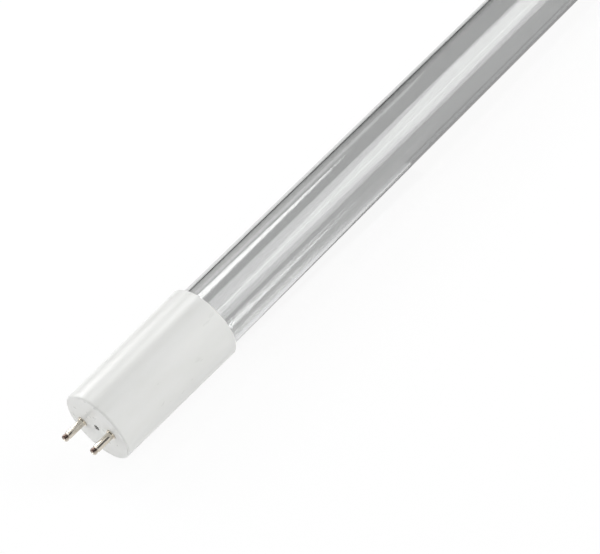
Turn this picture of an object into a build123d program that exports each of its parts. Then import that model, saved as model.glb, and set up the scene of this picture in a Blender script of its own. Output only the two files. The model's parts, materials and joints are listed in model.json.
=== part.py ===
"""Germicidal discharge lamp: a clear quartz tube with a white two-pin cap on each end.

Frame: +X runs along the lamp, the origin is its centre, the four pins lie in the XY plane, +Z is up.
The end at -X is the near end. The far end is the same set of pieces, turned half round about Z.
All sizes are in millimetres. A depth is measured from a cap's outer face towards the lamp's centre.
"""

import math
import os

from build123d import *

# Whole lamp
face_to_face = 436.8

# Quartz tube
tube_diameter = 21.0
tube_wall = 1.1
shoulder_length = 8.5
shoulder_rounding = 0.88
pinch_thickness = 4.0
pinch_side_gap = 1.4
pinch_edge_bead = 0.5
pinch_edge_radius = 1.8
pinch_blend = 1.0

# Moulded cap
cap_length = 45.3
cap_mouth_wall = 1.45
cap_draft = 0.7
cap_face_wall = 2.2
cap_face_edge_radius = 0.6
cap_mouth_edge_radius = 0.4
cap_stop_ledge = 0.6
vent_diameter = 2.0
boss_diameter = 5.6
boss_height = 2.4
rib_count = 6
rib_width = 1.2
rib_length = 4.8
rib_clearance = 0.05

# Cement between the tube and the cap
cement_gap = 0.35
cement_inset = 0.6

# Contact pins
pin_spacing = 12.7
pin_diameter = 2.35
pin_length = 7.6
pin_bore = 1.5
pin_tip_plug = 1.3
pin_tip_diameter = 2.2
pin_tip_radius = 0.5
pin_dimple_diameter = 0.9
pin_dimple_depth = 0.35
pin_crimp_start = 1.0
pin_crimp_end = 1.6
pin_crimp_depth = 0.12
pin_crimp_slope = 0.15
pin_collar_diameter = 3.3
pin_collar_thickness = 0.3
pin_shank_diameter = 2.7
rivet_diameter = 3.8
rivet_thickness = 0.35
pin_hole_clearance = 0.02

# Wires and foils through the pinch
outer_lead_diameter = 0.7
inner_lead_diameter = 0.6
wiring_space = 5.4
lead_bend_radius = 1.2
lead_straight = 1.2
foil_length = 9.0
foil_width = 3.0
foil_thickness = 0.1
foil_spacing = 8.4
foil_margin = 1.5
weld_overlap = 2.5
weld_flat_depth = 0.08

# Cathode coil and the hooks that hold it
cathode_depth = 40.0
coil_mean_diameter = 2.0
coil_wire_diameter = 0.4
coil_pitch = 1.1
coil_turns = 6
coil_roundness = 0.95
coil_leg = 1.6
coil_leg_bend = 0.45
hook_return = 1.0
hook_clearance = 0.02
hook_bend_share = 0.999

# Seal-off tip and mercury bead, both at the far end
tip_diameter = 3.2
tip_bore = 1.4
tip_length = 5.5
tip_cone_length = 2.2
tip_point_radius = 0.5
tip_inset = 2.8
bead_diameter = 1.0
bead_from_shoulder = 5.5
bead_clearance = 0.02

# Radii
tube_radius = tube_diameter / 2
bore_radius = tube_radius - tube_wall
socket_radius = tube_radius + cement_gap
chamber_radius = tube_radius - cap_stop_ledge
cap_mouth_radius = socket_radius + cap_mouth_wall
cap_face_radius = cap_mouth_radius - cap_length * math.tan(math.radians(cap_draft))
pin_radius = pin_diameter / 2
pin_shank_radius = pin_shank_diameter / 2
outer_lead_radius = outer_lead_diameter / 2
inner_lead_radius = inner_lead_diameter / 2
coil_wire_radius = coil_wire_diameter / 2
coil_mean_radius = coil_mean_diameter / 2
hook_radius = inner_lead_radius + coil_wire_radius + hook_clearance
pinch_width = 2 * (chamber_radius - pinch_side_gap)
tip_radius = tip_diameter / 2
bead_radius = bead_diameter / 2

# Depths from the cap's outer face
rivet_seat = cap_face_wall + boss_height
pin_tail = rivet_seat + rivet_thickness
pinch_tip = rivet_seat + wiring_space
foil_outer_end = pinch_tip + foil_margin
foil_inner_end = foil_outer_end + foil_length
pinch_root = foil_inner_end + foil_margin
shoulder_end = pinch_root + shoulder_length
shoulder_seat = shoulder_end - shoulder_length / 4
cement_outer_end = shoulder_seat + rib_length
cement_inner_end = cap_length - cement_inset
tip_end = shoulder_end - tip_length
bead_depth = shoulder_end + bead_from_shoulder

# Places across the lamp
pin_y = pin_spacing / 2
foil_y = foil_spacing / 2
coil_length = coil_turns * coil_pitch
hook_y = coil_length / 2 + coil_leg / 2
outer_lead_z = foil_thickness / 2 + outer_lead_radius - weld_flat_depth
inner_lead_z = foil_thickness / 2 + inner_lead_radius - weld_flat_depth
coil_leg_z = inner_lead_z - hook_radius
tip_z = bore_radius - tip_radius - tip_inset
bead_z = bead_radius + bead_clearance - bore_radius

near_face = -face_to_face / 2


def at(depth):
    """The X place of a depth at the near end."""
    return near_face + depth


def across(depth):
    """The plane square to the lamp at a depth, with its own x along Y and its own y along Z."""
    return Plane.YZ.offset(at(depth))


def turned(piece):
    """The same piece at the lamp's far end."""
    return piece.rotate(Axis.Z, 180)


def make_cap_shell():
    """White moulded cap: drafted outside, stepped bore inside, bosses behind the two pins."""
    with BuildPart() as cap_shell:
        with BuildSketch(Plane.XY):
            with BuildLine():
                Polyline(
                    (at(0), 0),
                    (at(0), cap_face_radius),
                    (at(cap_length), cap_mouth_radius),
                    (at(cap_length), socket_radius),
                    (at(shoulder_seat), socket_radius),
                    (at(shoulder_seat), chamber_radius),
                    (at(cap_face_wall), chamber_radius),
                    (at(cap_face_wall), 0),
                    close=True,
                )
            make_face()
        revolve(axis=Axis.X)
        rims = cap_shell.edges().filter_by(GeomType.CIRCLE)
        fillet(rims.group_by(Axis.X)[0].sort_by(SortBy.RADIUS)[-1], cap_face_edge_radius)
        mouth = cap_shell.edges().filter_by(GeomType.CIRCLE).group_by(Axis.X)[-1]
        fillet(mouth.sort_by(SortBy.RADIUS)[-1], cap_mouth_edge_radius)

        with BuildSketch(across(cap_face_wall)):
            with Locations((-pin_y, 0), (pin_y, 0)):
                Circle(boss_diameter / 2)
        extrude(amount=boss_height)

        # The ribs keep the tube centred while the cement sets
        rib_height = cement_gap - rib_clearance
        with BuildSketch(across(shoulder_seat)):
            with PolarLocations(socket_radius - rib_height / 2, rib_count, start_angle=90):
                Rectangle(2 * rib_height, rib_width)
            Circle(tube_radius + rib_clearance, mode=Mode.SUBTRACT)
        extrude(amount=rib_length)

        with BuildSketch(across(0)):
            with Locations((-pin_y, 0), (pin_y, 0)):
                Circle(pin_shank_radius + pin_hole_clearance)
            Circle(vent_diameter / 2)
        extrude(amount=rivet_seat, mode=Mode.SUBTRACT)
    return cap_shell.part


def make_cement_ring():
    """Ring of cement that fills the gap between the tube and the cap's mouth."""
    with BuildPart() as cement_ring:
        with BuildSketch(across(cement_outer_end)):
            Circle(socket_radius)
            Circle(tube_radius, mode=Mode.SUBTRACT)
        extrude(amount=cement_inner_end - cement_outer_end)
    return cement_ring.part


def make_pin(side):
    """Hollow drawn pin: soldered and crimped tip, collar on the face, tail riveted over the boss."""
    middle = side * pin_y
    bore_wall = middle + pin_bore / 2
    pin_wall = middle + pin_radius
    tip_wall = middle + pin_tip_diameter / 2
    crimp_floor = tip_wall - pin_crimp_depth
    shank_wall = middle + pin_shank_radius
    collar_rim = middle + pin_collar_diameter / 2
    rivet_rim = middle + rivet_diameter / 2
    tip = at(-pin_length)
    plug_end = tip + pin_tip_plug
    collar_face = at(-pin_collar_thickness)
    with BuildPart() as pin:
        with BuildSketch(Plane.XY) as half_section:
            with BuildLine():
                Polyline(
                    (tip + pin_dimple_depth, middle),
                    (tip, middle + pin_dimple_diameter / 2),
                    (tip, tip_wall),
                    (tip + pin_crimp_start, tip_wall),
                    (tip + pin_crimp_start + pin_crimp_slope, crimp_floor),
                    (tip + pin_crimp_end - pin_crimp_slope, crimp_floor),
                    (tip + pin_crimp_end, pin_wall),
                    (collar_face, pin_wall),
                    (collar_face, collar_rim),
                    (at(0), collar_rim),
                    (at(0), shank_wall),
                    (at(rivet_seat), shank_wall),
                    (at(rivet_seat), rivet_rim),
                    (at(pin_tail), rivet_rim),
                    (at(pin_tail), bore_wall + rivet_thickness),
                    (at(rivet_seat), bore_wall),
                    (plug_end, bore_wall),
                    (plug_end, middle),
                    close=True,
                )
            make_face()
            tip_corners = half_section.vertices().group_by(Axis.X)[0]
            fillet(tip_corners.sort_by(Axis.Y)[-1], pin_tip_radius)
        revolve(axis=Axis((0, middle, 0), (1, 0, 0)))
    return pin.part


def make_wire(points, radius, bends, side):
    """Round wire along straight runs with rounded corners, with a flat where it is welded to the foil."""
    with BuildPart() as wire:
        with BuildLine() as route:
            FilletPolyline(*points, radius=bends)
        with BuildSketch(Plane(origin=route.line @ 0, z_dir=route.line % 0)):
            Circle(radius)
        sweep(path=route.line)
        with BuildSketch(across(foil_outer_end)):
            with Locations((side * foil_y, 0)):
                Rectangle(foil_width, foil_thickness)
        extrude(amount=foil_length, mode=Mode.SUBTRACT)
    return wire.part


def make_outer_lead(side):
    """Wire from the pin's tip, down its bore and across to the weld on the foil."""
    points = [
        (at(pin_tip_plug - pin_length), side * pin_y, 0),
        (at(pin_tail + lead_straight), side * pin_y, 0),
        (at(pinch_tip - lead_straight), side * foil_y, outer_lead_z),
        (at(foil_outer_end + weld_overlap), side * foil_y, outer_lead_z),
    ]
    return make_wire(points, outer_lead_radius, lead_bend_radius, side)


def make_foil(side):
    """Flat molybdenum foil that carries the current through the pinch."""
    with BuildPart() as foil:
        with BuildSketch(across(foil_outer_end)):
            with Locations((side * foil_y, 0)):
                Rectangle(foil_width, foil_thickness)
        extrude(amount=foil_length)
    return foil.part


def make_inner_lead(side):
    """Wire from the foil into the tube, ending in a hook round the coil's leg."""
    hook_tip_z = inner_lead_z - 2 * hook_radius
    hook_turn = cathode_depth + hook_radius
    points = [
        (at(foil_inner_end - weld_overlap), side * foil_y, inner_lead_z),
        (at(pinch_root + lead_straight), side * foil_y, inner_lead_z),
        (at(shoulder_end), side * hook_y, inner_lead_z),
        (at(hook_turn), side * hook_y, inner_lead_z),
        (at(hook_turn), side * hook_y, hook_tip_z),
        (at(cathode_depth - hook_return), side * hook_y, hook_tip_z),
    ]
    snug = hook_radius * hook_bend_share
    bends = [lead_bend_radius, lead_bend_radius, snug, snug]
    return make_wire(points, inner_lead_radius, bends, side)


def make_cathode_coil():
    """Tungsten coil across the tube, with a straight leg through each hook."""
    quarters = 4 * coil_turns
    corner_sides = [(-1, 1), (1, 1), (1, -1), (-1, -1)]
    reach = (0, hook_y + coil_leg / 2, 0)
    corners = []
    for quarter in range(quarters + 1):
        side_x, side_z = corner_sides[quarter % 4]
        along = (quarter / quarters - 0.5) * coil_length
        corners.append(Vector(side_x * coil_mean_radius, along, side_z * coil_mean_radius))
    leg_line = Vector(corners[0].X, 0, corners[0].Z)
    points = [leg_line - reach, *corners, leg_line + reach]
    bends = [coil_leg_bend] + [coil_mean_radius * coil_roundness] * (quarters - 1) + [coil_leg_bend]
    with BuildPart() as coil:
        with BuildLine() as route:
            FilletPolyline(*points, radius=bends)
        with BuildSketch(Plane(origin=route.line @ 0, z_dir=route.line % 0)):
            Circle(coil_wire_radius)
        sweep(path=route.line)
    hooked = Vector(at(cathode_depth), 0, coil_leg_z)
    return coil.part.moved(Location(hooked - leg_line))


def shoulder_sections(start_half, end_half_width, end_half_height, end_depth):
    """Ellipses from the round tube down to the flat pinch, each as (depth, half width, half height)."""
    seat_half = start_half - cap_stop_ledge - rib_clearance
    seat_height = start_half * shoulder_rounding
    waist_depth = (shoulder_seat + end_depth) / 2
    return [
        (shoulder_end, start_half, start_half),
        (shoulder_seat, seat_half, seat_height),
        (waist_depth, (seat_half + end_half_width) / 2, (seat_height + end_half_height) / 2),
        (end_depth, end_half_width, end_half_height),
    ]


def make_hollow_end():
    """The space inside the shoulder, down to the root of the pinch."""
    with BuildPart() as hollow_end:
        hollow_root = pinch_root + tube_wall
        for depth, half_width, half_height in shoulder_sections(bore_radius, foil_y, tube_wall / 2, hollow_root):
            with BuildSketch(across(depth)):
                Ellipse(half_width, half_height)
        loft()
    return hollow_end.part


def make_quartz_tube(sealed_in):
    """One quartz vessel: round tube, a flat pinch at each end and a seal-off tip at the far end."""
    round_half = -at(shoulder_end)
    pinch_half_width = pinch_width / 2 - pinch_edge_bead
    outer_sections = shoulder_sections(tube_radius, pinch_half_width, pinch_thickness / 2, pinch_root)
    hollow_end = make_hollow_end()
    with BuildPart() as vessel:
        with BuildSketch(Plane.YZ):
            Circle(tube_radius)
        extrude(amount=round_half, both=True)
        for depth, half_width, half_height in outer_sections:
            with BuildSketch(across(depth)):
                Ellipse(half_width, half_height)
        loft()
        with BuildSketch(across(pinch_tip)):
            RectangleRounded(pinch_width, pinch_thickness, pinch_edge_radius)
        extrude(amount=pinch_root + pinch_blend - pinch_tip)
        mirror(about=Plane.YZ)

        # Seal-off tip on the far shoulder, above the pinch
        with BuildSketch(Plane.XZ) as tip_section:
            with BuildLine():
                Polyline(
                    (round_half, tip_z),
                    (-at(tip_end), tip_z),
                    (-at(tip_end), tip_z + tip_point_radius),
                    (-at(tip_end + tip_cone_length), tip_z + tip_radius),
                    (round_half, tip_z + tip_radius),
                    close=True,
                )
            make_face()
        tip_axis = Axis((0, 0, tip_z), (1, 0, 0))
        revolve(axis=tip_axis)

        # Hollow inside
        with BuildSketch(Plane.YZ):
            Circle(bore_radius)
        extrude(amount=round_half, both=True, mode=Mode.SUBTRACT)
        add(hollow_end, mode=Mode.SUBTRACT)
        add(turned(hollow_end), mode=Mode.SUBTRACT)
        with BuildSketch(Plane.YZ.offset(round_half)):
            with Locations((0, tip_z)):
                Circle(tip_bore / 2)
        extrude(amount=tip_length - tip_cone_length, mode=Mode.SUBTRACT)
        for piece in sealed_in:
            add(piece, mode=Mode.SUBTRACT)
            add(turned(piece), mode=Mode.SUBTRACT)
    return vessel.part


def make_mercury_bead():
    """Bead of mercury lying on the bottom of the tube, under the far cap."""
    with BuildPart() as bead:
        with Locations((-at(bead_depth), 0, bead_z)):
            Sphere(bead_radius)
    return bead.part


def write_piece(piece, name):
    """Labels one finished piece and writes it as its own file."""
    piece.label = name
    export_step(piece, f"parts/{name}.step")


os.makedirs("parts", exist_ok=True)

sides = {"a": -1, "b": 1}
end_pieces = {"cap_shell": make_cap_shell(), "cement_ring": make_cement_ring()}
end_pieces["cathode_coil"] = make_cathode_coil()
for side_name, side in sides.items():
    end_pieces[f"pin_{side_name}"] = make_pin(side)
    end_pieces[f"outer_lead_{side_name}"] = make_outer_lead(side)
    end_pieces[f"foil_{side_name}"] = make_foil(side)
    end_pieces[f"inner_lead_{side_name}"] = make_inner_lead(side)

for piece_name, piece in end_pieces.items():
    write_piece(piece, f"near_{piece_name}")
    write_piece(turned(piece), f"far_{piece_name}")

sealed_names = ("outer_lead", "foil", "inner_lead")
sealed_pieces = [end_pieces[f"{kind}_{side_name}"] for kind in sealed_names for side_name in sides]
write_piece(make_quartz_tube(sealed_pieces), "quartz_tube")
write_piece(make_mercury_bead(), "mercury_bead")
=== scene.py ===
# %% [markdown]
# # A clear germicidal lamp with a long white cap
#
# The lamp is a straight tube of clear quartz. A white moulded cap with two contact pins is cemented
# on each end, and the electrodes sit inside the caps, out of sight.
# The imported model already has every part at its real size, so this lesson is about looks: the glass,
# the plastic, the metals, and a small studio that gives the glass something to reflect.

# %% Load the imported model

import json
import math

import bmesh
import bpy
from mathutils import Matrix, Vector


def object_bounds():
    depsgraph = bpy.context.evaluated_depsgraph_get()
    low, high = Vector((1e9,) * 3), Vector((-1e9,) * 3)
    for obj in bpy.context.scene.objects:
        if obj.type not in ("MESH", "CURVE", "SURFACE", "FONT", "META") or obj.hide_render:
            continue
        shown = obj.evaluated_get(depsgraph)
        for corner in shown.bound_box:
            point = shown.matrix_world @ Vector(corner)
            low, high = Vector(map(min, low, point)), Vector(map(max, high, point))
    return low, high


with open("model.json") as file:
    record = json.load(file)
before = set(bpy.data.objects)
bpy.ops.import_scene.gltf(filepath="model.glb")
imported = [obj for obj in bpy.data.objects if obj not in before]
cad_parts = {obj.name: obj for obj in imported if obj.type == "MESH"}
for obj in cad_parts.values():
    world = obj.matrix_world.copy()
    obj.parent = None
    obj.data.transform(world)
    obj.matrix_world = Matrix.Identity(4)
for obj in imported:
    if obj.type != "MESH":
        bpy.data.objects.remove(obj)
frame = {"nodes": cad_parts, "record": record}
nodes = frame["nodes"]
cad_low, cad_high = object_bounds()
MM = 0.001
print("nodes:", len(nodes), "box in mm:", [round(v / MM, 1) for v in (cad_high - cad_low)])

# %% [markdown]
# ## The camera
#
# The photograph looks down on one end of the lamp from the front left, with a long lens, and the
# camera is rolled so that the tube climbs to the upper right corner.
# The place and the direction come from fitting a camera to the outlines of the cap, the tube and the
# pins. A long lens keeps the tube's edges nearly parallel, which a wide one would not.

# %% Camera

CAMERA_PLACE = Vector((-386.4, -393.9, 326.0)) * MM
CAMERA_LOOK = Vector((0.4322, 0.6830, -0.5888))
CAMERA_ROLL = math.radians(-24.56)
CAMERA_LENS = 115.4

camera = bpy.data.objects.new("camera", bpy.data.cameras.new("camera"))
bpy.context.scene.collection.objects.link(camera)
camera.data.lens = CAMERA_LENS
camera.data.clip_start = 10 * MM
camera.data.clip_end = 20
upright = CAMERA_LOOK.to_track_quat("-Z", "Y").to_matrix().to_4x4()
camera.matrix_world = Matrix.Translation(CAMERA_PLACE) @ upright @ Matrix.Rotation(CAMERA_ROLL, 4, "Z")
bpy.context.scene.camera = camera
print("camera lens in mm:", camera.data.lens)

# %% [markdown]
# ## Helpers for node trees
#
# Every finish here is a Principled BSDF with a few nodes in front of it. In Python each node takes
# three or four lines, and the idea of the finish gets lost among them. One helper adds a node with
# its values already set, one links pairs of sockets, and the last makes a material and hands back
# its shader.

# %% Helpers for nodes and materials


def add_node(tree, kind, **values):
    """Adds a node and sets its sockets and attributes. A socket's name has spaces as underscores."""
    node = tree.nodes.new(kind)
    for name, value in values.items():
        socket = node.inputs.get(name.replace("_", " "))
        if socket is None:
            setattr(node, name, value)
        else:
            socket.default_value = value
    return node


def connect(tree, pairs):
    """Links each output socket to its input socket."""
    for source, target in pairs:
        tree.links.new(source, target)


def new_material(name, **values):
    """A material whose Principled BSDF has the given sockets set. Returns (material, tree, shader)."""
    material = bpy.data.materials.new(name)
    material.use_nodes = True
    tree = material.node_tree
    shader = tree.nodes["Principled BSDF"]
    for socket, value in values.items():
        shader.inputs[socket.replace("_", " ")].default_value = value
    return material, tree, shader


# %% [markdown]
# ## Drift: no surface is one even colour
#
# Plastic shrinks unevenly in its mould, plating is thicker in some places, and a wire carries marks
# from the die that drew it. All of these are the same thing to the eye: a soft pattern that moves a
# colour a little way towards another one.
# So the effect is one node group. It reads Object coordinates, which stay fixed to the piece when the
# camera moves. Its two scales are in marks per metre, along the lamp and across it, and a low number
# along with a high number across gives the long streaks of anything drawn through a die.

# %% The drift group

drift_group = bpy.data.node_groups.new("surface_drift", "ShaderNodeTree")
for socket_name in ("Marks Along", "Marks Across"):
    drift_group.interface.new_socket(socket_name, in_out="INPUT", socket_type="NodeSocketFloat")
for socket_name in ("Dark", "Light"):
    drift_group.interface.new_socket(socket_name, in_out="INPUT", socket_type="NodeSocketColor")
drift_group.interface.new_socket("Colour", in_out="OUTPUT", socket_type="NodeSocketColor")
drift_group.interface.new_socket("Marks", in_out="OUTPUT", socket_type="NodeSocketFloat")

drift_in = add_node(drift_group, "NodeGroupInput")
drift_out = add_node(drift_group, "NodeGroupOutput")
drift_place = add_node(drift_group, "ShaderNodeTexCoord")
drift_scale = add_node(drift_group, "ShaderNodeCombineXYZ")
drift_stretch = add_node(drift_group, "ShaderNodeVectorMath", operation="MULTIPLY")
drift_noise = add_node(drift_group, "ShaderNodeTexNoise", Scale=1.0, Detail=3.0)
drift_range = add_node(drift_group, "ShaderNodeMapRange", From_Min=0.33, From_Max=0.67)
drift_mix = add_node(drift_group, "ShaderNodeMixRGB")
connect(drift_group, (
    (drift_in.outputs["Marks Along"], drift_scale.inputs["X"]),
    (drift_in.outputs["Marks Across"], drift_scale.inputs["Y"]),
    (drift_in.outputs["Marks Across"], drift_scale.inputs["Z"]),
    (drift_place.outputs["Object"], drift_stretch.inputs[0]),
    (drift_scale.outputs["Vector"], drift_stretch.inputs[1]),
    (drift_stretch.outputs["Vector"], drift_noise.inputs["Vector"]),
    (drift_noise.outputs["Fac"], drift_range.inputs["Value"]),
    (drift_range.outputs["Result"], drift_mix.inputs["Fac"]),
    (drift_in.outputs["Dark"], drift_mix.inputs["Color1"]),
    (drift_in.outputs["Light"], drift_mix.inputs["Color2"]),
    (drift_mix.outputs["Color"], drift_out.inputs["Colour"]),
    (drift_range.outputs["Result"], drift_out.inputs["Marks"]),
))
print("drift group nodes:", len(drift_group.nodes))

# %% [markdown]
# ## Relief: the marks that a finger could feel
#
# A mould with an eroded surface leaves fine grain on plastic, cement is gritty, and quartz that was
# drawn from a furnace has faint waves. The relief group makes a noise in the same stretched Object
# coordinates and turns it into a bent normal. The Bump node's Distance is the height of the marks in
# metres, so the depths below are real ones.

# %% The relief group

relief_group = bpy.data.node_groups.new("surface_relief", "ShaderNodeTree")
for socket_name in ("Marks Along", "Marks Across", "Strength", "Depth"):
    relief_group.interface.new_socket(socket_name, in_out="INPUT", socket_type="NodeSocketFloat")
relief_group.interface.new_socket("Normal", in_out="OUTPUT", socket_type="NodeSocketVector")

relief_in = add_node(relief_group, "NodeGroupInput")
relief_out = add_node(relief_group, "NodeGroupOutput")
relief_place = add_node(relief_group, "ShaderNodeTexCoord")
relief_scale = add_node(relief_group, "ShaderNodeCombineXYZ")
relief_stretch = add_node(relief_group, "ShaderNodeVectorMath", operation="MULTIPLY")
relief_noise = add_node(relief_group, "ShaderNodeTexNoise", Scale=1.0, Detail=2.0)
relief_bump = add_node(relief_group, "ShaderNodeBump")
connect(relief_group, (
    (relief_in.outputs["Marks Along"], relief_scale.inputs["X"]),
    (relief_in.outputs["Marks Across"], relief_scale.inputs["Y"]),
    (relief_in.outputs["Marks Across"], relief_scale.inputs["Z"]),
    (relief_place.outputs["Object"], relief_stretch.inputs[0]),
    (relief_scale.outputs["Vector"], relief_stretch.inputs[1]),
    (relief_stretch.outputs["Vector"], relief_noise.inputs["Vector"]),
    (relief_noise.outputs["Fac"], relief_bump.inputs["Height"]),
    (relief_in.outputs["Strength"], relief_bump.inputs["Strength"]),
    (relief_in.outputs["Depth"], relief_bump.inputs["Distance"]),
    (relief_bump.outputs["Normal"], relief_out.inputs["Normal"]),
))
print("relief group nodes:", len(relief_group.nodes))

# %% [markdown]
# ## Placing the two groups
#
# A finish calls these helpers with its own numbers. The first one wires the drifting colour into the
# shader and returns the marks, so that the same marks can also steer the gloss, as they do on a real
# surface: a rubbed streak is both paler and shinier.

# %% Helpers that place the groups


def add_drift(tree, shader, along, across, dark, light):
    """Gives the shader a colour that drifts between two, and returns the marks as an output socket."""
    drift = add_node(tree, "ShaderNodeGroup", node_tree=drift_group)
    drift.inputs["Marks Along"].default_value = along
    drift.inputs["Marks Across"].default_value = across
    drift.inputs["Dark"].default_value = (*dark, 1)
    drift.inputs["Light"].default_value = (*light, 1)
    tree.links.new(drift.outputs["Colour"], shader.inputs["Base Color"])
    return drift.outputs["Marks"]


def add_relief(tree, shader, along, across, strength, depth):
    """Gives the shader a fine relief of the given depth."""
    relief = add_node(tree, "ShaderNodeGroup", node_tree=relief_group)
    relief.inputs["Marks Along"].default_value = along
    relief.inputs["Marks Across"].default_value = across
    relief.inputs["Strength"].default_value = strength
    relief.inputs["Depth"].default_value = depth
    tree.links.new(relief.outputs["Normal"], shader.inputs["Normal"])


def steer_gloss(tree, shader, marks, smooth, rough):
    """Lets the marks move the roughness between two values."""
    gloss = add_node(tree, "ShaderNodeMapRange", To_Min=smooth, To_Max=rough)
    tree.links.new(marks, gloss.inputs["Value"])
    tree.links.new(gloss.outputs["Result"], shader.inputs["Roughness"])


# %% [markdown]
# ## White moulded plastic
#
# The caps are injection moulded in a plastic that stands up to the ultraviolet of the lamp. It is a
# warm white with a satin skin: the mould's eroded surface leaves a grain two hundredths of a
# millimetre deep, which spreads a lamp's reflection into a soft streak.
# The roughness of about 0.3 gives that streak, the relief breaks it up, and a little sheen lifts the
# edges, where light skims over the grain.

# %% Plastic material

PLASTIC_DARK = (0.665, 0.668, 0.648)
PLASTIC_LIGHT = (0.685, 0.687, 0.672)
PLASTIC_GRAIN = 5200

cap_plastic, plastic_tree, plastic_shader = new_material(
    "cap_plastic", IOR=1.49, Sheen_Weight=0.4, Sheen_Roughness=0.4
)
plastic_marks = add_drift(plastic_tree, plastic_shader, 90, 260, PLASTIC_DARK, PLASTIC_LIGHT)
steer_gloss(plastic_tree, plastic_shader, plastic_marks, 0.27, 0.35)
add_relief(plastic_tree, plastic_shader, PLASTIC_GRAIN, PLASTIC_GRAIN, 0.12, 0.02 * MM)
print("plastic:", cap_plastic.name)

# %% [markdown]
# ## Clear quartz
#
# The tube is fused quartz, because plain glass stops the short ultraviolet that kills germs. It is
# made by drawing, so its surface has very long and shallow waves, and they are why the reflected
# bands in a real tube are never quite straight. The relief here is nine marks per metre along the
# tube and hundreds across it.
# Light crosses four surfaces on its way through the tube. Real quartz is colourless. The grey of the
# base colour here stands for the light lost at those surfaces, and for a darker room around the
# tube than the white ground that this stage has. A scene with a room of its own would want less.

# %% Glass material

QUARTZ_GREY = (0.61, 0.614, 0.612, 1)
# The pale colour below is painted light for the glass edges near the caps.
QUARTZ_PAINTED_EDGE_LIGHT = (0.90, 0.905, 0.90, 1)
WAVES_ALONG = 9
WAVES_ACROSS = 260

quartz_glass, quartz_tree, quartz_shader = new_material(
    "quartz_glass", Roughness=0.0, IOR=1.46, Transmission_Weight=1.0
)
add_relief(quartz_tree, quartz_shader, WAVES_ALONG, WAVES_ACROSS, 0.1, 0.05 * MM)
print("waves in the length of the lamp:", round(WAVES_ALONG * (cad_high.x - cad_low.x)))

# %% [markdown]
# ## Painted light on the glass edges near the caps
#
# Towards its edges a tube is seen along its wall. Near the white caps the tube's edges are made pale
# with painted light in the base colour, which stands for the caps' light carried along the wall, while
# in the middle of the lamp they stay grey.
# A Layer Weight node finds the edges, and the distance from the middle of the lamp decides how much
# of the pale colour comes in. Layer Weight stays outside of the groups, because the export of the
# model can't read it there.

# %% Painted light on the glass edges

EDGE_STARTS = 75 * MM
EDGE_FULL = 150 * MM
FACING_STARTS = 0.3
FACING_FULL = 0.5

edge_facing = add_node(quartz_tree, "ShaderNodeLayerWeight", Blend=0.5)
painted_edge_ramp = add_node(quartz_tree, "ShaderNodeValToRGB")
painted_edge_ramp.color_ramp.elements[0].position = FACING_STARTS
painted_edge_ramp.color_ramp.elements[0].color = QUARTZ_GREY
painted_edge_ramp.color_ramp.elements[1].position = FACING_FULL
painted_edge_ramp.color_ramp.elements[1].color = QUARTZ_PAINTED_EDGE_LIGHT
tube_place = add_node(quartz_tree, "ShaderNodeTexCoord")
tube_axes = add_node(quartz_tree, "ShaderNodeSeparateXYZ")
from_middle = add_node(quartz_tree, "ShaderNodeMath", operation="ABSOLUTE")
near_cap = add_node(quartz_tree, "ShaderNodeMapRange", From_Min=EDGE_STARTS, From_Max=EDGE_FULL)
# Painted light: this mix makes the glass edges pale near the caps.
painted_edge_mix = add_node(quartz_tree, "ShaderNodeMixRGB", Color1=QUARTZ_GREY)
connect(quartz_tree, (
    (edge_facing.outputs["Facing"], painted_edge_ramp.inputs["Fac"]),
    (tube_place.outputs["Object"], tube_axes.inputs["Vector"]),
    (tube_axes.outputs["X"], from_middle.inputs[0]),
    (from_middle.outputs["Value"], near_cap.inputs["Value"]),
    (near_cap.outputs["Result"], painted_edge_mix.inputs["Fac"]),
    (painted_edge_ramp.outputs["Color"], painted_edge_mix.inputs["Color2"]),
    (painted_edge_mix.outputs["Color"], quartz_shader.inputs["Base Color"]),
))
print("edge colour comes in from", round(EDGE_STARTS / MM), "to", round(EDGE_FULL / MM), "mm")

# %% [markdown]
# ## Nickel-plated pins
#
# Each pin is a hollow brass tube, drawn, plated and riveted into the cap. Polished metal has hardly a
# colour of its own: what is seen is the room, squeezed into thin stripes by the narrow round wall.
# The plate is slightly yellow, and the marks of the drawing run lengthwise, so the gloss drifts in
# streaks. A clean mirror would look like chrome.

# %% Pin material

PLATE_DARK = (0.60, 0.55, 0.47)
PLATE_LIGHT = (0.72, 0.68, 0.61)

pin_nickel, pin_tree, pin_shader = new_material("pin_nickel", Metallic=1.0)
pin_marks = add_drift(pin_tree, pin_shader, 150, 2600, PLATE_DARK, PLATE_LIGHT)
steer_gloss(pin_tree, pin_shader, pin_marks, 0.06, 0.16)
print("pins:", pin_nickel.name)

# %% [markdown]
# ## Dark pin tips
#
# The lead wire comes up through the pin and is soldered in its crimped tip. The last part of each tip
# is coloured dark brown on its upper side. The mask is the product of two ramps: one that rises over
# half a millimetre near the end of the lamp, and one from below the pin's axis to above it.

# %% Dark colour on the pin tips

# The dark brown that each pin tip is given on its upper side.
TIP_DARK_COLOUR = (0.10, 0.055, 0.045, 1)
TIP_DARK_SHARE = 0.9
TIP_DARK_STARTS = cad_high.x - 1.7 * MM
TIP_DARK_FULL = cad_high.x - 1.2 * MM
TIP_DARK_BOTTOM = -0.3 * MM
TIP_DARK_TOP = 0.7 * MM

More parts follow.
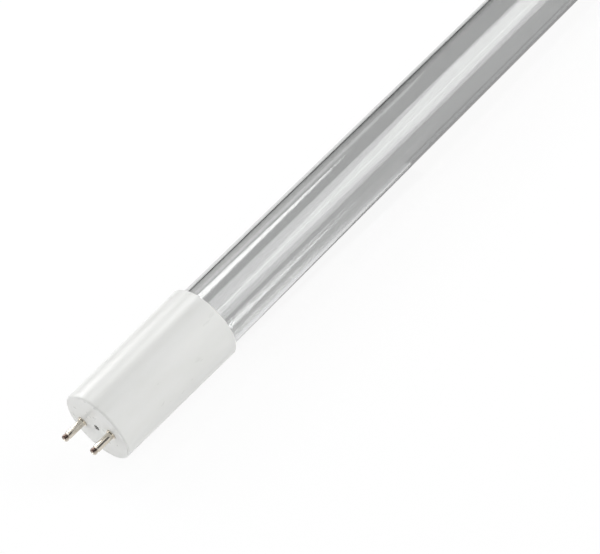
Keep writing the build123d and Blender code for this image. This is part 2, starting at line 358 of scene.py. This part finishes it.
pin_place = add_node(pin_tree, "ShaderNodeTexCoord")
pin_axes = add_node(pin_tree, "ShaderNodeSeparateXYZ")
pin_from_middle = add_node(pin_tree, "ShaderNodeMath", operation="ABSOLUTE")
tip_ramp = add_node(
    pin_tree, "ShaderNodeMapRange", From_Min=TIP_DARK_STARTS, From_Max=TIP_DARK_FULL, To_Max=TIP_DARK_SHARE
)
upper_ramp = add_node(pin_tree, "ShaderNodeMapRange", From_Min=TIP_DARK_BOTTOM, From_Max=TIP_DARK_TOP)
tip_dark_mask = add_node(pin_tree, "ShaderNodeMath", operation="MULTIPLY")
tip_dark_mix = add_node(pin_tree, "ShaderNodeMixRGB", Color2=TIP_DARK_COLOUR)
plate_colour = pin_shader.inputs["Base Color"].links[0].from_socket
connect(pin_tree, (
    (pin_place.outputs["Object"], pin_axes.inputs["Vector"]),
    (pin_axes.outputs["X"], pin_from_middle.inputs[0]),
    (pin_from_middle.outputs["Value"], tip_ramp.inputs["Value"]),
    (pin_axes.outputs["Z"], upper_ramp.inputs["Value"]),
    (tip_ramp.outputs["Result"], tip_dark_mask.inputs[0]),
    (upper_ramp.outputs["Result"], tip_dark_mask.inputs[1]),
    (tip_dark_mask.outputs["Value"], tip_dark_mix.inputs["Fac"]),
    (plate_colour, tip_dark_mix.inputs["Color1"]),
    (tip_dark_mix.outputs["Color"], pin_shader.inputs["Base Color"]),
))
print("stain starts at", round(TIP_DARK_STARTS / MM, 1), "mm from the middle")

# %% [markdown]
# ## The metals inside
#
# The lead wires are darkened by the heat of the sealing. The foils are thin rolled molybdenum, which
# seals into quartz where a round wire would crack it. The coil is tungsten under a pale chalky coat
# that gives off electrons, and the bead is mercury.
# They differ in three numbers: the colours, the roughness, and how their marks are stretched.

# %% Inner metals


def make_inner_metal(name, roughness, along, across, dark, light):
    """A metal of even roughness whose colour drifts between two values."""
    metal, tree, shader = new_material(name, Metallic=1.0, Roughness=roughness)
    add_drift(tree, shader, along, across, dark, light)
    return metal


lead_wire = make_inner_metal("lead_wire", 0.35, 200, 2500, (0.30, 0.22, 0.18), (0.42, 0.34, 0.29))
rolled_foil = make_inner_metal("rolled_foil", 0.4, 900, 900, (0.36, 0.35, 0.36), (0.48, 0.47, 0.48))
coated_coil = make_inner_metal("coated_coil", 0.6, 3000, 3000, (0.50, 0.48, 0.44), (0.68, 0.66, 0.62))
mercury = make_inner_metal("mercury", 0.04, 500, 500, (0.72, 0.72, 0.74), (0.78, 0.78, 0.80))
print("inner metals:", [metal.name for metal in (lead_wire, rolled_foil, coated_coil, mercury)])

# %% [markdown]
# ## Cement
#
# A ring of cement holds the tube in the cap. It is a chalky filler, matt and gritty, a little
# yellower than the plastic, and it shows only where one looks into the cap's mouth.

# %% Cement material

cap_cement, cement_tree, cement_shader = new_material("cap_cement", Roughness=0.9)
add_drift(cement_tree, cement_shader, 1800, 1800, (0.64, 0.62, 0.56), (0.76, 0.75, 0.70))
add_relief(cement_tree, cement_shader, 1800, 1800, 0.5, 0.05 * MM)
print("cement:", cap_cement.name)

# %% [markdown]
# ## Dressing the pieces
#
# The record of the model says which material slot each node has. The finishes are given by slot, so
# both ends of the lamp get the same ones, and a node that is added later is dressed as well.

# %% Give each node its material

FINISHES = {
    "quartz": quartz_glass,
    "cap_plastic": cap_plastic,
    "pin_metal": pin_nickel,
    "cement": cap_cement,
    "lead_wire": lead_wire,
    "foil": rolled_foil,
    "tungsten": coated_coil,
    "mercury": mercury,
}
slot_of = {entry["node"]: entry["material_slot"] for entry in frame["record"]["subparts"]}
for node_name, node in nodes.items():
    node.data.materials.clear()
    node.data.materials.append(FINISHES[slot_of[node_name]])
print("finished nodes:", len(nodes))

# %% [markdown]
# ## Sheets for the studio
#
# The floor and the dark cards are flat sheets. Each one is made of a single grid face at its own
# size, and its place is put into the mesh.

# %% Helper for sheets


def add_sheet(name, size, where, material):
    """A flat rectangular sheet of the stage. The matrix places it, with its face along local +Z."""
    sheet_bm = bmesh.new()
    bmesh.ops.create_grid(sheet_bm, x_segments=1, y_segments=1, size=0.5)
    bmesh.ops.scale(sheet_bm, verts=sheet_bm.verts, vec=(*size, 1))
    bmesh.ops.transform(sheet_bm, verts=sheet_bm.verts, matrix=where)
    mesh = bpy.data.meshes.new(name)
    sheet_bm.to_mesh(mesh)
    sheet_bm.free()
    mesh.materials.append(material)
    sheet = bpy.data.objects.new(name, mesh)
    bpy.context.scene.collection.objects.link(sheet)
    return sheet


# %% [markdown]
# ## The floor
#
# A catalogue picture has a pure white ground. If more light made it white, the white caps would burn
# out as well. So the floor's material is mixed: to the camera, and in reflections and through the
# glass, most of it is a plain glow of strength 1, which is white. The rest is an ordinary matt floor
# that still takes the lamp's soft shadow and throws light back on its underside.

# %% Floor

FLOOR_SIZE = 8.0
FLOOR_GAP = 0.05 * MM
FLOOR_GLOW = 0.92

floor_material, floor_tree, floor_shader = new_material(
    "floor", Base_Color=(0.9, 0.9, 0.9, 1), Roughness=0.9, Specular_IOR_Level=0.0
)
floor_path = add_node(floor_tree, "ShaderNodeLightPath")
camera_or_glossy = add_node(floor_tree, "ShaderNodeMath", operation="MAXIMUM")
any_seen = add_node(floor_tree, "ShaderNodeMath", operation="MAXIMUM")
glow_share = add_node(floor_tree, "ShaderNodeMath", operation="MULTIPLY")
glow_share.inputs[1].default_value = FLOOR_GLOW
glow = add_node(floor_tree, "ShaderNodeEmission", Color=(1, 1, 1, 1), Strength=1.0)
floor_mix = add_node(floor_tree, "ShaderNodeMixShader")
connect(floor_tree, (
    (floor_path.outputs["Is Camera Ray"], camera_or_glossy.inputs[0]),
    (floor_path.outputs["Is Glossy Ray"], camera_or_glossy.inputs[1]),
    (camera_or_glossy.outputs["Value"], any_seen.inputs[0]),
    (floor_path.outputs["Is Transmission Ray"], any_seen.inputs[1]),
    (any_seen.outputs["Value"], glow_share.inputs[0]),
    (glow_share.outputs["Value"], floor_mix.inputs["Fac"]),
    (floor_shader.outputs["BSDF"], floor_mix.inputs[1]),
    (glow.outputs["Emission"], floor_mix.inputs[2]),
    (floor_mix.outputs["Shader"], floor_tree.nodes["Material Output"].inputs["Surface"]),
))
floor_place = Matrix.Translation((0, 0, cad_low.z - FLOOR_GAP))
add_sheet("floor", (FLOOR_SIZE, FLOOR_SIZE), floor_place, floor_material)
print("floor at z in mm:", round(floor_place.translation.z / MM, 2))

# %% [markdown]
# ## The room
#
# The world is a weak and even grey. It fills the shadows, and it is what the glass shows wherever no
# panel is reflected, so its strength sets the grey between the white bands of the tube.

# %% World

ROOM_COLOUR = (0.92, 0.93, 0.94, 1)
ROOM_STRENGTH = 0.26

room = bpy.data.worlds.new("room")
room.use_nodes = True
room_background = room.node_tree.nodes["Background"]
room_background.inputs["Color"].default_value = ROOM_COLOUR
room_background.inputs["Strength"].default_value = ROOM_STRENGTH
bpy.context.scene.world = room
print("world:", room.name, "strength", room_background.inputs["Strength"].default_value)

# %% [markdown]
# ## Where a panel has to stand
#
# A round tube is a mirror that squeezes the whole room into stripes along it. A stripe's place across
# the tube depends only on the angle round the tube at which its lamp stands, and its ends depend on
# the lamp's reach along the tube. So each panel is placed by an angle round the axis, counted from
# the camera's side upwards and backwards, and by its place along the lamp.

# %% Helpers for places

ALONG = Vector((1, 0, 0))
FRONT = Vector((0, -CAMERA_LOOK.y, -CAMERA_LOOK.z)).normalized()
BEHIND = FRONT.cross(ALONG)


def facing_axis(angle, x, distance=1.0, shift=0.0, roll=0.0):
    """The place of a thing that faces the lamp's axis from an angle round it, in degrees.

    The shift moves it across the lamp and the roll turns it, both in its own plane.
    """
    turn = math.radians(angle)
    back = FRONT * math.cos(turn) + BEHIND * math.sin(turn)
    across = BEHIND * math.cos(turn) - FRONT * math.sin(turn)
    turned = Matrix((ALONG, across, back)).transposed().to_4x4()
    place = Matrix.Translation(ALONG * x + back * distance + across * shift)
    return place @ turned @ Matrix.Rotation(math.radians(roll), 4, "Z")


def aimed_at(place, aim):
    """The place of a light that is turned towards a point."""
    look = Vector(aim) - Vector(place)
    return Matrix.Translation(place) @ look.to_track_quat("-Z", "Y").to_matrix().to_4x4()


# %% [markdown]
# ## How strong a panel is
#
# An area light's energy is in watts, and a larger panel at the same watts looks dimmer. What counts
# for a reflection is the panel's own brightness, where 1 is as bright as white paper in the picture.
# So the helper takes that brightness and works out the watts from the panel's area.

# %% Helper for panels

panels = {}


def add_panel(name, where, size, brightness):
    """A soft rectangular light. The size is along and across the lamp, in metres."""
    light = bpy.data.lights.new(name, "AREA")
    light.shape = "RECTANGLE"
    light.size, light.size_y = size
    light.energy = brightness * math.pi * size[0] * size[1]
    panel = bpy.data.objects.new(name, light)
    panel.matrix_world = where
    bpy.context.scene.collection.objects.link(panel)
    panels[name] = panel
    return panel


# %% [markdown]
# ## Two broad panels in front
#
# The wide pale bands down the middle of the tube are two large panels on either side of the camera.
# Between them is a slanted bright one, whose lower corner makes the middle band taper along the tube.

# %% Front panels

add_panel("front_high", facing_axis(14, 0.52), (0.56, 0.77), 3.1)
add_panel("front_low", facing_axis(-27, 0.52), (0.56, 0.80), 3.1)
add_panel("front_core", facing_axis(-3, 0.66, shift=0.05, roll=55), (1.0, 0.60), 2.2)
print("front panels:", len(panels))

# %% [markdown]
# ## The long highlight
#
# The brightest line of the tube runs near its upper edge. A small and strong box stands up and
# behind for it. The box is turned on its corner, so the line starts as a point and widens, and a
# long weak strip carries it on towards the far end.

# %% Back lights

BOX_SIZE = (0.285, 0.285)
BOX_X = 0.25
BOX_ROLL = 45

add_panel("back_box", facing_axis(70, BOX_X, roll=BOX_ROLL), BOX_SIZE, 9.4)
add_panel("back_strip", facing_axis(90, 0.36, roll=-8), (0.40, 0.20), 1.3)
print("back box stands at", [round(v, 2) for v in panels["back_box"].matrix_world.translation])

# %% [markdown]
# ## Lights for the cap and the pins
#
# From this camera the tube can't reflect anything that stands nearer to its left end than about a
# fifth of a metre to the right. Lights to the left of that place shape the cap without adding
# stripes to the glass: one gives the soft streak on the upper side, the fills lift both edges and
# the end face, and a narrow one draws a stripe on the pins.

# %% Cap and pin lights

CAP_END = (-0.22, 0, 0)

add_panel("cap_strip", facing_axis(103, -0.03), (0.44, 0.36), 6.0)
add_panel("side_fill", facing_axis(116, -0.30), (0.70, 0.30), 5.2)
add_panel("low_fill", facing_axis(-34, -0.35), (0.70, 0.24), 3.0)
add_panel("pin_strip", facing_axis(38, 0.09), (0.20, 0.85), 0.8)
add_panel("end_fill", aimed_at((-1.3, 0.4, 0.3), CAP_END), (1.0, 1.0), 2.5)
print("panels in all:", len(panels))

# %% [markdown]
# ## Cards that the camera looks through
#
# A photographer stands cards just outside of the picture and lets the object reflect them. Here a
# card can stand anywhere, because its material mixes a plain tone with a transparent shader, and the
# Light Path node makes it clear to the camera. So no card stands in the picture from another side,
# though the glass can still show one there, because the cards were placed for this camera.
# A card can also be told to show only to one kind of ray, such as reflected rays, or to light that
# has gone through several walls of glass, which the cap and the pins never send out.

# %% Card materials


def make_card_material(name, tone, seen_by=None, surfaces_crossed=None):
    """An even tone that the camera doesn't see.

    With seen_by it shows only to one kind of ray. With surfaces_crossed it shows only to rays
    that have gone through at least that many surfaces of glass.
    """
    material, tree, shader = new_material(name)
    tree.nodes.remove(shader)
    path = add_node(tree, "ShaderNodeLightPath")
    shown = add_node(tree, "ShaderNodeMath", operation="SUBTRACT")
    shown.inputs[0].default_value = 1.0
    tree.links.new(path.outputs["Is Camera Ray"], shown.inputs[1])
    if seen_by is not None:
        tree.links.new(path.outputs[seen_by], shown.inputs[0])
    if surfaces_crossed is not None:
        crossed = add_node(tree, "ShaderNodeMath", operation="GREATER_THAN")
        crossed.inputs[1].default_value = surfaces_crossed - 0.5
        tree.links.new(path.outputs["Transmission Depth"], crossed.inputs[0])
        tree.links.new(crossed.outputs["Value"], shown.inputs[0])
    clear = add_node(tree, "ShaderNodeBsdfTransparent")
    even = add_node(tree, "ShaderNodeEmission", Color=(1, 1, 1, 1), Strength=tone)
    mix = add_node(tree, "ShaderNodeMixShader")
    tree.links.new(shown.outputs["Value"], mix.inputs["Fac"])
    tree.links.new(clear.outputs["BSDF"], mix.inputs[1])
    tree.links.new(even.outputs["Emission"], mix.inputs[2])
    tree.links.new(mix.outputs["Shader"], tree.nodes["Material Output"].inputs["Surface"])
    return material


black_card = make_card_material("black_card", 0.0)
print("card material:", black_card.name)

# %% [markdown]
# ## Dark lines
#
# Clear glass on a white ground has no outline of its own. The glass bends the dark of a black card
# into a thin line at its edge. One card does that for the tube's upper edge, and a small one beside
# the camera draws the dark line down each pin.

# %% Black cards

black_cards = [
    add_sheet("edge_card", (2.0, 0.62), facing_axis(123, 1.15, distance=1.06), black_card),
    add_sheet("pin_card", (0.26, 0.30), facing_axis(-3, 0.05, distance=0.9), black_card),
]
print("black cards:", [card.name for card in black_cards])

# %% [markdown]
# ## The shade under the tube
#
# The floor's glow has washed out the tube's own shadow, and the lower edge of the glass would melt
# into the ground. Two narrow sheets on the floor, one black and one grey, put that shade back where
# the glass reflects it. What lies straight under the tube is reflected at its very edge, and what
# lies nearer to the camera is reflected further in. So the sheet beside the cap is slanted: it
# draws a thin line there, which widens along the tube into the band that the second sheet carries
# on. The floor under the slanted sheet is also seen through the glass, so only reflected rays see
# that sheet.

# %% Shade cards

SHADE_TONE = 0.45
SHADE_WIDTH = 8 * MM
SHADE_LIFT = 0.02 * MM
SHADE_START = (-178 * MM, 1 * MM)
SHADE_TURN = (-85 * MM, -5 * MM)
SHADE_END = (185 * MM, -5 * MM)

shade_card = make_card_material("shade_card", SHADE_TONE)
edge_shade_card = make_card_material("edge_shade_card", 0.0, seen_by="Is Reflection Ray")


def add_shade(name, start, end, material):
    """A narrow sheet on the floor between two points, given as (x, y)."""
    run = Vector(end) - Vector(start)
    middle = (Vector(start) + Vector(end)) / 2
    lift = floor_place.translation.z + SHADE_LIFT
    slant = Matrix.Rotation(math.atan2(run.y, run.x), 4, "Z")
    where = Matrix.Translation((middle.x, middle.y, lift)) @ slant
    return add_sheet(name, (run.length, SHADE_WIDTH), where, material)


shades = [
    add_shade("shade_near", SHADE_START, SHADE_TURN, edge_shade_card),
    add_shade("shade_far", SHADE_TURN, SHADE_END, shade_card),
]
print("shade cards:", [shade.name for shade in shades])

# %% [markdown]
# ## The second highlight
#
# The tube's back wall reflects the bright box as well, and draws a second line below the middle. The
# grey of this glass takes more than half of that line's light on its way out. A stronger box would
# burn out the cap and the first line, so the missing part comes from a card of its own. It stands
# a little further round than the box, which moves the second line outwards, and it shows only to
# rays that have crossed four surfaces: in and out through the tube's front wall.

# %% Glow card

GLOW_TONE = 30.0
GLOW_ANGLE = 84
GLOW_DISTANCE = 1.01
SURFACES_TO_BACK_WALL = 4

glow_card = make_card_material("glow_card", GLOW_TONE, surfaces_crossed=SURFACES_TO_BACK_WALL)
glow_place = facing_axis(GLOW_ANGLE, BOX_X, distance=GLOW_DISTANCE, roll=BOX_ROLL)
add_sheet("glow_card", BOX_SIZE, glow_place, glow_card)
print("glow card stands at", [round(v, 2) for v in glow_place.translation])

# %% [markdown]
# ## The view
#
# Standard shows a colour as it is written, which suits a white cap on a white ground.

bpy.context.scene.view_settings.view_transform = "Standard"
